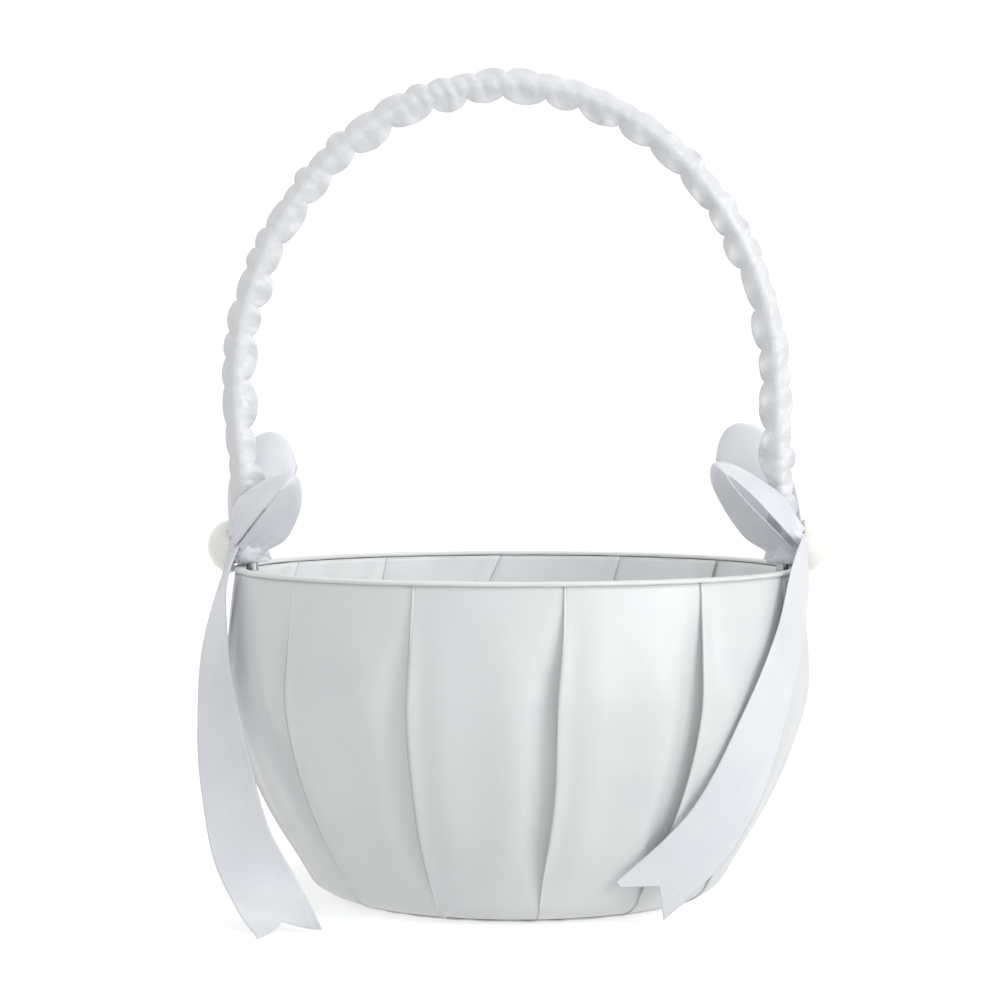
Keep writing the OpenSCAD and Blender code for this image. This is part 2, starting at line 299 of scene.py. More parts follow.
def arc_length(points, axis):
    """Running length along an axis of a grid of points, starting at 0."""
    step = np.linalg.norm(np.diff(points, axis=axis), axis=-1)
    zero = np.zeros_like(np.take(step, [0], axis=axis))
    return np.concatenate([zero, np.cumsum(step, axis=axis)], axis=axis)


def cloth_uv(points):
    """U and V are the running lengths across and along the cloth, in metres."""
    return np.stack([arc_length(points, 1), arc_length(points, 0)], axis=-1)


def unit(v):
    return v / np.linalg.norm(v, axis=-1, keepdims=True)


def finish_piece(piece, material, slot, body, *nodes):
    """Gives the piece its material, lets it ride its body, and hides the nodes it is. The slot is not
    used.
    """
    piece.data.materials.clear()
    piece.data.materials.append(material)
    if body:
        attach(piece, body)
    if nodes:
        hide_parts(*nodes)


# ---------------------------------------------------------------- node groups and materials
def new_group(name, inputs, outputs):
    """An empty shader node group with the named sockets."""
    group = bpy.data.node_groups.new(name, "ShaderNodeTree")
    for label, kind, value in inputs:
        socket = group.interface.new_socket(label, in_out="INPUT", socket_type=kind)
        if value is not None:
            socket.default_value = value
    for label, kind in outputs:
        group.interface.new_socket(label, in_out="OUTPUT", socket_type=kind)
    return group, group.nodes.new("NodeGroupInput"), group.nodes.new("NodeGroupOutput")


def math_node(tree, operation, a, b=None, c=None):
    """A Math node whose inputs are sockets or numbers; returns its output."""
    node = tree.nodes.new("ShaderNodeMath")
    node.operation = operation
    for i, value in enumerate((a, b, c)):
        if value is None:
            continue
        if isinstance(value, (int, float)):
            node.inputs[i].default_value = value
        else:
            tree.links.new(value, node.inputs[i])
    return node.outputs[0]


def noise_node(tree, vector, scale, detail=2.0, roughness=0.5):
    """A Noise texture on a vector, whose scale is a socket or a number; returns its value."""
    node = tree.nodes.new("ShaderNodeTexNoise")
    node.inputs["Detail"].default_value = detail
    node.inputs["Roughness"].default_value = roughness
    tree.links.new(vector, node.inputs["Vector"])
    if isinstance(scale, (int, float)):
        node.inputs["Scale"].default_value = scale
    else:
        tree.links.new(scale, node.inputs["Scale"])
    return node.outputs["Fac"]


def stretched(tree, vector, scale):
    """The vector scaled by three numbers, for a pattern longer one way than the other."""
    node = tree.nodes.new("ShaderNodeMapping")
    node.inputs["Scale"].default_value = scale
    tree.links.new(vector, node.inputs["Vector"])
    return node.outputs[0]


def satin_weave_group():
    """Satin weave: threads cross at a stated spacing, long floats along U and short ones along V,
    each a sine of the cloth position, with slubs as noise stretched along the threads."""
    group = bpy.data.node_groups.get("Satin weave")
    if group:
        return group
    group, start, end = new_group(
        "Satin weave",
        [("Cloth", "NodeSocketVector", None), ("Thread", "NodeSocketFloat", 0.00032),
         ("Float share", "NodeSocketFloat", 0.35), ("Slub", "NodeSocketFloat", 0.4)],
        [("Height", "NodeSocketFloat"), ("Tone", "NodeSocketFloat")],
    )
    split = group.nodes.new("ShaderNodeSeparateXYZ")
    group.links.new(start.outputs["Cloth"], split.inputs[0])
    turns = math_node(group, "DIVIDE", TAU, start.outputs["Thread"])
    across = math_node(group, "SINE", math_node(group, "MULTIPLY", split.outputs[0], turns))
    along = math_node(group, "SINE", math_node(group, "MULTIPLY", split.outputs[1], turns))
    floats = math_node(group, "MULTIPLY", along, start.outputs["Float share"])
    weave = math_node(group, "ADD", math_node(group, "MULTIPLY", across, floats), across)
    slub_v = stretched(group, start.outputs["Cloth"], (2600, 60, 1))
    slub = noise_node(group, slub_v, 1.0, 3.0)
    slub_part = math_node(group, "MULTIPLY", slub, start.outputs["Slub"])
    height = math_node(group, "ADD", math_node(group, "MULTIPLY", weave, 0.3), slub_part)
    group.links.new(height, end.inputs["Height"])
    group.links.new(slub, end.inputs["Tone"])
    return group


def crease_group():
    """Soft creases: two sizes of noise, folded about their middle so that ridges stay narrow."""
    group = bpy.data.node_groups.get("Soft creases")
    if group:
        return group
    group, start, end = new_group(
        "Soft creases",
        [("Place", "NodeSocketVector", None), ("Scale", "NodeSocketFloat", 60.0),
         ("Sharpness", "NodeSocketFloat", 2.0)],
        [("Height", "NodeSocketFloat"), ("Tone", "NodeSocketFloat")],
    )
    wide = noise_node(group, start.outputs["Place"], start.outputs["Scale"], 2.0)
    fold = math_node(group, "ABSOLUTE", math_node(group, "SUBTRACT", wide, 0.5))
    sharp = math_node(group, "MULTIPLY", fold, start.outputs["Sharpness"])
    ridge = math_node(group, "SUBTRACT", 1.0, sharp)
    group.links.new(ridge, end.inputs["Height"])
    group.links.new(wide, end.inputs["Tone"])
    return group


def place_group(tree, group, **values):
    """Puts a node group in a material and sets its inputs from sockets or values."""
    node = tree.nodes.new("ShaderNodeGroup")
    node.node_tree = group
    for label, value in values.items():
        socket = node.inputs[label.replace("_", " ").capitalize()]
        if isinstance(value, (int, float)):
            socket.default_value = value
        else:
            tree.links.new(value, socket)
    return node


def new_material(name, **settings):
    """A material with a Principled BSDF whose constant values sit on its own sockets."""
    material = bpy.data.materials.new(name)
    material.use_nodes = True
    shader = material.node_tree.nodes["Principled BSDF"]
    for label, value in settings.items():
        shader.inputs[label.replace("_", " ")].default_value = value
    return material, material.node_tree, shader


def mix_colours(tree, factor, low, high):
    """A colour between two, by a factor."""
    node = tree.nodes.new("ShaderNodeMix")
    node.data_type = "RGBA"
    node.inputs["A"].default_value = (*low, 1)
    node.inputs["B"].default_value = (*high, 1)
    tree.links.new(factor, node.inputs["Factor"])
    return node.outputs["Result"]


def spread(tree, value, low, high, to_low, to_high):
    """Value moved from one range to another, and held within it."""
    node = tree.nodes.new("ShaderNodeMapRange")
    ends = {"From Min": low, "From Max": high, "To Min": to_low, "To Max": to_high}
    for label, number in ends.items():
        node.inputs[label].default_value = number
    tree.links.new(value, node.inputs["Value"])
    return node.outputs[0]


def bump_chain(tree, shader, heights):
    """Bump nodes one after another: each height is (socket, strength, distance)."""
    normal = None
    for height, strength, distance in heights:
        bump = tree.nodes.new("ShaderNodeBump")
        bump.inputs["Strength"].default_value = strength
        bump.inputs["Distance"].default_value = distance
        tree.links.new(height, bump.inputs["Height"])
        if normal:
            tree.links.new(normal, bump.inputs["Normal"])
        normal = bump.outputs["Normal"]
    tree.links.new(normal, shader.inputs["Normal"])


def satin(name, colour, shade, roughness=0.34, thread=0.00034, crease=55.0, crease_depth=0.25,
          slub=0.4, sheen=0.12):
    """Satin: weave and slubs on the cloth's own UV map, soft creases in space, and a colour that
    shifts a little with both."""
    found = bpy.data.materials.get(name)
    if found:
        return found
    material, tree, shader = new_material(
        name, Sheen_Weight=sheen, Sheen_Roughness=0.35, Specular_IOR_Level=0.9, Anisotropic=0.4,
    )
    cloth = tree.nodes.new("ShaderNodeUVMap")
    cloth.uv_map = "Cloth"
    place = tree.nodes.new("ShaderNodeTexCoord")
    weave = place_group(tree, satin_weave_group(), cloth=cloth.outputs[0], thread=thread, slub=slub)
    creases = place_group(tree, crease_group(), place=place.outputs["Object"], scale=crease)
    tone = math_node(tree, "MULTIPLY_ADD", creases.outputs["Tone"], 0.7,
                     math_node(tree, "MULTIPLY", weave.outputs["Tone"], 0.3))
    tree.links.new(mix_colours(tree, spread(tree, tone, 0.35, 0.65, 0, 1), shade, colour),
                   shader.inputs["Base Color"])
    tree.links.new(spread(tree, tone, 0.3, 0.7, roughness + 0.06, roughness - 0.06),
                   shader.inputs["Roughness"])
    bump_chain(tree, shader, [(creases.outputs["Height"], crease_depth, 0.0008),
                              (weave.outputs["Height"], 0.25, 0.00004)])
    return material


def plain_cloth(name, colour, shade, thread=0.0006):
    """Plain-woven cotton: the same weave group with equal threads both ways, and no sheen."""
    found = bpy.data.materials.get(name)
    if found:
        return found
    material, tree, shader = new_material(name, Sheen_Weight=0.05, Specular_IOR_Level=0.2)
    cloth = tree.nodes.new("ShaderNodeUVMap")
    cloth.uv_map = "Cloth"
    weave = place_group(tree, satin_weave_group(), cloth=cloth.outputs[0], thread=thread,
                        float_share=1.0, slub=0.8)
    tree.links.new(mix_colours(tree, weave.outputs["Tone"], shade, colour), shader.inputs["Base Color"])
    tree.links.new(spread(tree, weave.outputs["Tone"], 0.2, 0.8, 0.75, 0.9), shader.inputs["Roughness"])
    bump_chain(tree, shader, [(weave.outputs["Height"], 0.5, 0.0001)])
    return material


def spun_material(name, colour, shade, roughness, scale, depth, metallic=0.0, stretch=(1, 1, 1), **more):
    """A material in space: noise, longer one way where stretched, shifts its colour, roughness and
    height. It serves padding, moulded plastic, drawn wire and pearl."""
    found = bpy.data.materials.get(name)
    if found:
        return found
    material, tree, shader = new_material(name, Metallic=metallic, **more)
    place = tree.nodes.new("ShaderNodeTexCoord")
    grain = noise_node(tree, stretched(tree, place.outputs["Object"], stretch), scale, 4.0, 0.6)
    tree.links.new(mix_colours(tree, spread(tree, grain, 0.35, 0.65, 0, 1), shade, colour),
                   shader.inputs["Base Color"])
    tree.links.new(spread(tree, grain, 0.3, 0.7, roughness * 0.85, roughness * 1.15),
                   shader.inputs["Roughness"])
    bump_chain(tree, shader, [(grain, 0.4, depth)])
    return material


def colours():
    return bpy.context.scene.basket_colours


def cloth_settings():
    return bpy.context.scene.basket_cloth


def cover_satin():
    c = colours()
    return satin("Cover satin", c.satin, c.satin_shade, crease=38, crease_depth=0.35)


# The lining's satin carries painted light: its colour is lighter than the body's satin, and the body's
# satin colour is its darker tone.
def lining_satin():
    c = colours()
    return satin("Lining satin with painted light", c.lining, c.satin, roughness=0.4, crease=60, crease_depth=0.3)


def binding_satin():
    c = colours()
    return satin("Binding satin", c.satin, c.satin, roughness=0.36, crease=160, crease_depth=0.2)


# The sleeve's satin carries painted shade: its colour is a little darker than the body's, for the shade
# in its gathers.
def sleeve_satin():
    c = colours()
    shade = tuple(0.93 * v for v in c.sleeve)
    return satin("Sleeve satin with painted shade", c.sleeve, shade, roughness=0.38, crease=200, crease_depth=0.4)


def ribbon_satin():
    c = colours()
    return satin("Ribbon satin", c.ribbon, c.ribbon_shade, roughness=0.34, crease=45,
                 crease_depth=0.15, slub=0.25, sheen=0.18)


# ---------------------------------------------------------------- pieces: the body
def fold_angles(seed):
    """Azimuth of each pleat's folded edge at the rim, from +X towards +Y: evenly from 8 degrees
    right of the front, moved a little as if by hand."""
    rng = np.random.default_rng(seed)
    start = math.radians(-90 + 8.3)
    return start + TAU * np.arange(FOLDS) / FOLDS + np.radians(rng.uniform(-0.6, 0.6, FOLDS))


def body_path(rings):
    """Profile of the cover as radius and height: in under the bowl, round the foot as an arc whose
    tangent meets the wall's, and up the wall to the rim."""
    slope = math.atan(WALL_CURVE * (BELLY_R - FOOT_R) / (BELLY_Z - FOOT_Z))
    fillet = (FOOT_Z - BASE_T) / (1 - math.sin(slope))
    centre = FOOT_R - fillet * math.cos(slope)
    a = np.linspace(0, math.pi / 2 - slope, rings // 8)
    under_r = np.linspace(TURN_IN_R, centre, rings // 10, endpoint=False)
    z = np.linspace(FOOT_Z, BODY_H, rings)[1:]
    r = np.concatenate([under_r, centre + fillet * np.sin(a), wall_r(z)])
    h = np.concatenate([np.full_like(under_r, BASE_T), BASE_T + fillet * (1 - np.cos(a)), z])
    return np.stack([r, h], axis=1)


def pleat_section(t, share):
    """One pleat across, t from 0 at its folded edge to 1 at the next one's. Returns its angle as a
    share of the pleat, and its height in and out of the wall as shares of rise and valley.
    The panel swells twice, sinks into a hollow beside the next fold that is wider where the share is
    greater, runs on past that fold by a tuck, turns in a round edge and comes back to it."""
    tuck = 0.16 * share
    panel = np.clip(t / 0.82, 0, 1)
    back = np.clip((t - 0.82) / 0.18, 0, 1)
    angle = panel * (1 + tuck) - tuck * ease(back)
    width = 0.06 + 0.17 * share
    drop = ease((angle - 0.985 + width) / width)
    swell = 0.7 * np.exp(-(((panel - 0.2) / 0.12) ** 2)) + 0.6 * np.exp(-(((panel - 0.6) / 0.13) ** 2))
    edge = 1 - ease(panel / 0.1)
    rise = edge * 0.95 + swell * (1 - drop)
    lift = ease(back)
    return angle, rise * (1 - lift) + lift * 0.9, -drop * (1 - lift)


def pleated_wall(path, share, folds, rise, valley, twist, seed, inward=False, per=48):
    """The wall as rings of pleats: radius is the profile plus rise and valley by the pleat's
    section, and the azimuth of each pleat follows its fold's own slant and sway down the wall."""
    rng = np.random.default_rng(seed)
    t = np.linspace(0, 1, per, endpoint=False)
    rows = len(path)
    down = (BODY_H - path[:, 1]) / BODY_H
    sway = np.stack([wander(down * 4, waves(seed + i, 3, 0.5, 2.5)) for i in range(FOLDS)])
    lean = twist * rng.uniform(0.4, 1.2, FOLDS)[:, None] * down
    edge = folds[:, None] + lean + np.radians(0.7) * sway * share
    after = np.concatenate([edge[1:], edge[:1] + TAU])
    strength = rng.uniform(0.75, 1.15, FOLDS)[:, None, None]
    angle, up, low = pleat_section(t[None, None, :], share[None, :, None])
    azimuth = edge[..., None] + (after - edge)[..., None] * angle
    soft = wander(azimuth * 9 + path[None, :, 1:2] * 90, waves(seed + 40, 6, 0.5, 2.2))
    offset = (up * rise * strength + low * valley * np.minimum(strength, 1)) * share[None, :, None]
    offset = offset + soft * 0.22 * MM * share[None, :, None]
    radius = path[None, :, :1] + (-offset if inward else offset)
    points = turned(radius, azimuth, path[None, :, 1:2])
    return points.transpose(1, 0, 2, 3).reshape(rows, FOLDS * per, 3)


class BASKET_OT_cover(bpy.types.Operator):
    """Make the pleated satin cover outside the bowl"""

    bl_idname = "basket.cover"
    bl_label = "Pleated cover"

    def execute(self, context):
        s = cloth_settings()
        path = body_path(64)
        path[:, 0] -= 0.5 * MM * ease((path[:, 1] - 4 * MM) / (8 * MM))
        z = path[:, 1]
        share = ease((BODY_H - z) / (30 * MM)) * ease((z - 3 * MM) / (22 * MM))
        share = share + 0.06 * ease(z / (10 * MM))
        points = pleated_wall(path, share, fold_angles(s.seed), s.fold_rise, s.fold_valley,
                              math.radians(-3.5), s.seed)
        piece = surface("outer_cover_pleated", points, cloth_uv(points), closed_cols=True)
        thicken(piece, s.cloth_t)
        finish_piece(piece, cover_satin(), "cover_satin", "basket", "outer_cover")
        return {"FINISHED"}


class BASKET_OT_lining(bpy.types.Operator):
    """Make the satin lining with its slanting folds and the casings over the handle's legs"""

    bl_idname = "basket.lining"
    bl_label = "Lining"

    def execute(self, context):
        s = cloth_settings()
        low = PAD_LOW + 1.2 * MM
        z = np.linspace(low, BODY_H - 0.1 * MM, 68)
        path = np.stack([lining_in(z) + 0.35 * MM, z], axis=1)
        share = 0.6 + 0.4 * ease((BODY_H - z) / (16 * MM)) * ease((z - low) / (14 * MM))
        folds = fold_angles(s.seed + 3) + math.radians(9)
        points = pleated_wall(path, share, folds, 1.0 * MM, 0.25 * MM, math.radians(34), s.seed + 5,
                              inward=True)
        height = points[..., 2]
        casing = np.exp(-((points[..., 1] / (2.7 * MM)) ** 2)) * ease((height - 46 * MM) / (6 * MM))
        casing = casing * ease((BODY_H + 8 * MM - height) / (10 * MM))
        radius = np.hypot(points[..., 0], points[..., 1])
        points[..., :2] *= ((radius - 3.6 * MM * casing) / radius)[..., None]
        piece = surface("inner_lining_folded", points, cloth_uv(points), closed_cols=True, flip=True)
        thicken(piece, s.cloth_t)
        finish_piece(piece, lining_satin(), "lining_satin", "basket", "inner_lining")
        return {"FINISHED"}


class BASKET_OT_rim(bpy.types.Operator):
    """Make the rolled satin bead along the rim"""

    bl_idname = "basket.rim"
    bl_label = "Rim bead"

    def execute(self, context):
        s = cloth_settings()
        inner, outer = lining_in(BODY_H) + 0.1 * MM, RIM_R + 0.15 * MM
        a = np.linspace(0, TAU, 1080, endpoint=False)
        b = np.linspace(0, TAU, 28, endpoint=False)
        terms = waves(s.seed + 60, 8, 20, 90)
        pucker = 1 + 0.10 * wander(a, terms)[:, None]
        squash = np.sign(np.sin(b)) * np.abs(np.sin(b)) ** 0.75
        half_w, half_h = (outer - inner) / 2, 0.4 * (RIM_TOP - BODY_H)
        r = (inner + outer) / 2 + half_w * np.cos(b)[None, :] * pucker
        z = BODY_H + half_h - 0.1 * MM + half_h * squash[None, :] * pucker
        points = turned(r, a[:, None], z)
        uv = np.stack(np.broadcast_arrays((a * outer)[:, None], (b * half_w)[None, :]), axis=-1)
        piece = surface("rim_bead", points, uv, closed_rows=True, closed_cols=True, flip=True)
        finish_piece(piece, binding_satin(), "binding_satin", "basket", "rim_binding")
        return {"FINISHED"}


class BASKET_OT_padding(bpy.types.Operator):
    """Make the padding in the wall and the straps that hold the handle's legs"""

    bl_idname = "basket.padding"
    bl_label = "Wall padding"

    def execute(self, context):
        s = cloth_settings()
        z = np.linspace(FOOT_Z + 1.5 * MM, BODY_H - 4.5 * MM, 60)
        a = np.linspace(0, TAU, 240, endpoint=False)
        lump = wander(a[None, :] * 14 + z[:, None] * 160, waves(s.seed + 80, 6, 0.6, 2))
        inside = np.broadcast_to((core_out(z) + 0.06 * MM)[:, None], lump.shape)
        outside = inside + (0.1 + 0.12 * fullness(z)[:, None] * (0.8 + 0.2 * lump)) * MM
        r = np.concatenate([inside, outside[::-1]])
        h = np.concatenate([z, z[::-1]])[:, None]
        points = turned(r, a, h)
        piece = surface("wall_batting", points, closed_rows=True, closed_cols=True, flip=True)
        batting = spun_material("Padding", (0.85, 0.85, 0.84), (0.74, 0.74, 0.73), 0.95, 900, 0.0004)
        finish_piece(piece, batting, "padding", "basket", "wall_padding")
        for side, name in ((-1, "left"), (1, "right")):
            self.strap(side, name)
        return {"FINISHED"}

    def strap(self, side, name):
        """A tape over a leg: flat against the bowl on each side, and up over the wire as a smooth
        hump in between."""
        s = cloth_settings()
        y = np.linspace(-6.8, 6.8, 60) * MM
        z = np.linspace(55.2, 63.8, 24) * MM
        wall = core_out(z)[:, None] - CORE_T - 0.08 * MM
        flat = np.sqrt(wall**2 - y[None, :] ** 2)
        leg = KNEE[0] - (KNEE[1] - z)[:, None] * math.tan(LEG_LEAN)
        over = leg - np.sqrt(np.maximum((2.0 * MM) ** 2 - y[None, :] ** 2, 0))
        hump = np.exp(-((y[None, :] / (2.2 * MM)) ** 4))
        x = flat * (1 - hump) + np.minimum(over, flat) * hump
        points = np.stack(np.broadcast_arrays(side * x, y[None, :], z[:, None]), axis=-1)
        piece = surface(f"{name}_leg_tape", points, cloth_uv(points), flip=side > 0)
        thicken(piece, 0.35 * MM)
        tape = plain_cloth("Tape", (0.80, 0.80, 0.79), (0.68, 0.68, 0.67))
        finish_piece(piece, tape, "tape", "basket", f"{name}_leg_strap")


class BASKET_OT_floor_pad(bpy.types.Operator):
    """Make the satin floor pad, blown up by a cloth simulation"""

    bl_idname = "basket.floor_pad"
    bl_label = "Floor pad"

    def execute(self, context):
        s = cloth_settings()
        low, high, radius = PAD_LOW + 0.1 * MM, PAD_TOP - s.pad_puff, PAD_R - 0.6 * MM
        half = (high - low) / 2
        b = np.linspace(-math.pi / 2, math.pi / 2, 15)
        side = np.linspace(0, 0.94, 26)
        share = np.concatenate([side[1:], np.full(13, side[-1]), side[::-1][:-1]])
        height = np.concatenate([np.full(25, -1.0), np.sin(b[1:-1]), np.full(25, 1.0)])
        round_out = np.concatenate([np.zeros(25), np.cos(b[1:-1]), np.zeros(25)])
        r = share * radius + round_out * half
        a = np.linspace(0, TAU, 160, endpoint=False)
        z = (low + high) / 2 + half * height
        points = turned(r[:, None], a, z[:, None])
        piece = surface("floor_pad", points, closed_cols=True, caps=True)
        self.inflate(piece, s.pad_puff)
        self.seam_and_weave(piece, radius)
        smooth = piece.modifiers.new("Smooth", "SUBSURF")
        smooth.levels = smooth.render_levels = 1
        finish_piece(piece, lining_satin(), "lining_satin", "basket", "floor_cover", "floor_foam")
        return {"FINISHED"}

    def inflate(self, piece, most):
        """Voxel remesh, then 20 frames of cloth under inside pressure without gravity. No point ends
        further than the cap from where it began."""
        voxel = piece.modifiers.new("Voxels", "REMESH")
        voxel.mode = "VOXEL"
        voxel.voxel_size = 2.6 * MM
        bpy.context.view_layer.objects.active = piece
        bpy.ops.object.modifier_apply(modifier=voxel.name)
        start = read_points(piece.data)
        cloth = piece.modifiers.new("Cloth", "CLOTH")
        cloth.settings.quality = 6
        cloth.settings.use_pressure = True
        cloth.settings.uniform_pressure_force = 4
        cloth.settings.effector_weights.gravity = 0
        for number in range(1, 21):
            bpy.context.scene.frame_set(number)
        shaped = piece.evaluated_get(bpy.context.evaluated_depsgraph_get())
        end = read_points(shaped.data)
        piece.modifiers.remove(cloth)
        bpy.context.scene.frame_set(1)
        move = end - start
        far = np.linalg.norm(move, axis=1, keepdims=True)
        write_points(piece.data, start + move * np.minimum(1, most / np.maximum(far, 1e-9)))
        piece.data.shade_smooth()

    def seam_and_weave(self, piece, radius):
        """A seam round the pad's top edge as a narrow ring-shaped groove, soft radial puckers inside
        it, and the plan position as the cloth's UV map."""
        p = read_points(piece.data)
        r = np.hypot(p[:, 0], p[:, 1])
        a = np.arctan2(p[:, 1], p[:, 0])
        top = p[:, 2] > (PAD_LOW + PAD_TOP) / 2
        ring = np.exp(-(((r - radius + 3 * MM) / (1.1 * MM)) ** 2))
        inside = np.exp(-(((r - radius + 6 * MM) / (4 * MM)) ** 2))
        pucker = wander(a * 22, waves(3, 5, 0.8, 1.6)) * inside
        p[:, 2] -= np.where(top, ring * 0.5 * MM - pucker * 0.22 * MM, 0)
        p[:, 2] = np.clip(p[:, 2], PAD_LOW + 0.05 * MM, PAD_TOP)
        p[:, :2] *= np.minimum(1, (PAD_R - 0.2 * MM) / np.maximum(r, 1e-9))[:, None]
        write_points(piece.data, p)
        mesh = piece.data
        corner = np.empty(len(mesh.loops), np.int32)
        mesh.loops.foreach_get("vertex_index", corner)
        layer = mesh.uv_layers.get("Cloth") or mesh.uv_layers.new(name="Cloth")
        layer.data.foreach_set("uv", (p[corner, :2] + 0.1).astype(np.float32).ravel())


def read_points(mesh):
    points = np.empty(len(mesh.vertices) * 3, np.float32)
    mesh.vertices.foreach_get("co", points)
    return points.reshape(-1, 3).astype(float)


def write_points(mesh, points):
    mesh.vertices.foreach_set("co", points.astype(np.float32).ravel())
    mesh.update()


class BASKET_OT_base(bpy.types.Operator):
    """Make the cloth disc under the basket, slightly hollow, with a hemmed edge"""

    bl_idname = "basket.base"
    bl_label = "Base cover"

    def execute(self, context):
        s = cloth_settings()
        share = np.linspace(0.02, 1, 46)[:, None]
        a = np.linspace(0, TAU, 240, endpoint=False)[None, :]
        pucker = wander(a * 30, waves(s.seed + 90, 6, 0.7, 1.6)) * ease((share - 0.7) / 0.3)
        hem = np.exp(-(((share - 0.95) / 0.03) ** 2))
        z = 0.55 * MM - 0.3 * MM * share**2 + 0.12 * MM * pucker - 0.1 * MM * hem
        r = share * (BASE_R - 0.2 * MM)
        points = turned(r, a, z)
        uv = points[..., :2] + 0.1
        piece = surface("base_cloth", points, uv, closed_cols=True, flip=True)
        close_middle(piece, len(a[0]))
        thicken(piece, 0.35 * MM, offset=1.0)
        cloth = plain_cloth("Base cloth", (0.80, 0.80, 0.81), (0.72, 0.72, 0.74), 0.0005)
        finish_piece(piece, cloth, "base_cloth", "basket", "base_cover")
        return {"FINISHED"}


def close_middle(piece, cols):
    """Fills the small hole in the middle of a disc with one face per pair of points."""
    work = bmesh.new()
    work.from_mesh(piece.data)
    work.verts.ensure_lookup_table()
    ring = work.verts[:cols]
    middle = sum((v.co for v in ring), ring[0].co * 0) / cols
    bmesh.ops.pointmerge(work, verts=ring, merge_co=middle)
    bmesh.ops.dissolve_degenerate(work, edges=work.edges, dist=1e-7)
    work.to_mesh(piece.data)
    work.free()


# ---------------------------------------------------------------- pieces: the handle
def arch_line(count):
    """The handle's middle line in X and Z from the left knee to the right one, evenly spaced: an arc
    over the top, a wide arc on each side, and straight legs tangent to them."""
    rise = ARCH_TOP - ARCH_WIDE_Z
    crown_z = ARCH_TOP - CROWN_R
    side_r = (ARCH_HALF_W**2 + rise**2 - 2 * rise * CROWN_R) / (2 * (ARCH_HALF_W - CROWN_R))
    join = math.atan2(crown_z - ARCH_WIDE_Z, side_r - ARCH_HALF_W)
    halves = []
    for side in (-1, 1):
        centre = np.array([ARCH_HALF_W - side_r + side * ARCH_SHIFT, ARCH_WIDE_Z])
        v = KNEE - centre
        lean = math.atan2(v[1], v[0]) + math.acos(side_r / np.hypot(*v))
        touch = centre + side_r * np.array([math.cos(lean), math.sin(lean)])
        foot = KNEE - SLEEVE_LOW * unit(touch - KNEE)
        leg = foot + np.linspace(0, 1, 120)[:, None] * (touch - foot)
        a = np.linspace(lean, join, 160)[1:, None]
        bend = centre + side_r * np.concatenate([np.cos(a), np.sin(a)], axis=1)
        b = np.linspace(join, math.pi / 2, 200)[1:, None]
        crown = np.array([side * ARCH_SHIFT, crown_z])
        top = crown + CROWN_R * np.concatenate([np.cos(b), np.sin(b)], axis=1)
        halves.append(np.concatenate([leg, bend, top]) * (side, 1))
    line = np.concatenate([halves[0], halves[1][::-1][1:]])
    length = arc_length(line, 0)
    even = np.linspace(0, length[-1], count)
    return np.stack([np.interp(even, length, line[:, i]) for i in range(2)], axis=1), even


class BASKET_OT_sleeve(bpy.types.Operator):
    """Make the ruched satin sleeve of the handle"""

    bl_idname = "basket.sleeve"
    bl_label = "Handle sleeve"

    def execute(self, context):
        """Across, the sleeve is a lens: a half width that swells in lobes along both edges times the
        cosine of the angle, and a thickness that is the wire's in the middle, thin at the edges, and
        creased across the sleeve."""
        s = cloth_settings()
        line, length = arch_line(760)
        run = unit(np.gradient(line, axis=0))
        out = np.stack([-run[:, 1], run[:, 0]], axis=1)
        b = np.linspace(0, TAU, 52, endpoint=False)
        c = np.cos(b)[None, :]
        inner = self.lobes(length, s.seed + 20, (8, 13), (1.2, 3.0))[:, None]
        outer = self.lobes(length, s.seed + 33, (5, 10), (0.4, 1.7))[:, None]
        lobe = s.ruffle * np.where(c < 0, inner, outer)
        slant = length[:, None] * 1500 + 1.2 * c + 4 * wander(length * 90, waves(5, 4, 0.5, 2))[:, None]
        gathered = 0.55 + 0.45 * wander(length * 70, waves(s.seed + 8, 4, 0.5, 2))[:, None]
        crease = gathered * (0.5 + 0.5 * np.cos(slant)) ** 1.6
        across = (2.75 * MM + lobe * np.abs(c) ** 1.5 + 0.12 * MM * crease) * c
        thin = 0.5 * MM + 1.75 * MM * np.exp(-((across / (3.2 * MM)) ** 2))
        ends = ease(np.minimum(length, length[-1] - length) / (5 * MM))[:, None]
        y = np.sin(b)[None, :] * thin * (1 - 0.16 * crease)
        twist = ease((line[:, :1] - 5 * MM) / (40 * MM)) * np.sin(length[:, None] * 620 + 1.6 * c)
        edge = np.minimum(1, np.abs(across) / (4 * MM)) ** 2
        y = y + (0.35 * np.sin(slant * 0.5) + 0.9 * twist) * edge * MM * ends
        across = across * (0.84 + 0.16 * ends)
        x, z = (line[:, i:i + 1] + out[:, i:i + 1] * across for i in (0, 1))
        points = np.stack([x, y, z], axis=-1)
        uv = np.stack(np.broadcast_arrays((b * 3.6 * MM)[None, :], (length * 1.5)[:, None]), axis=-1)
        piece = surface("handle_sleeve_ruched", points, uv, closed_cols=True, flip=True)
        thicken(piece, 0.2 * MM)
        finish_piece(piece, sleeve_satin(), "sleeve_satin", "basket", "handle_sleeve")
        return {"FINISHED"}

    def lobes(self, length, seed, gap, size):
        """Lobes along one edge in mm: between stitches a gap apart the cloth stands out as the root
        of a half sine, each lobe to its own size, and it is pulled in at the stitches."""
        rng = np.random.default_rng(seed)
        stitch = np.cumsum(np.concatenate([[-4], rng.uniform(*gap, 90)])) * MM
        height = rng.uniform(*size, len(stitch)) * MM
        i = np.clip(np.searchsorted(stitch, length, side="right") - 1, 0, len(stitch) - 2)
        t = (length - stitch[i]) / (stitch[i + 1] - stitch[i])
        return np.sin(np.pi * t) ** 0.55 * height[i]


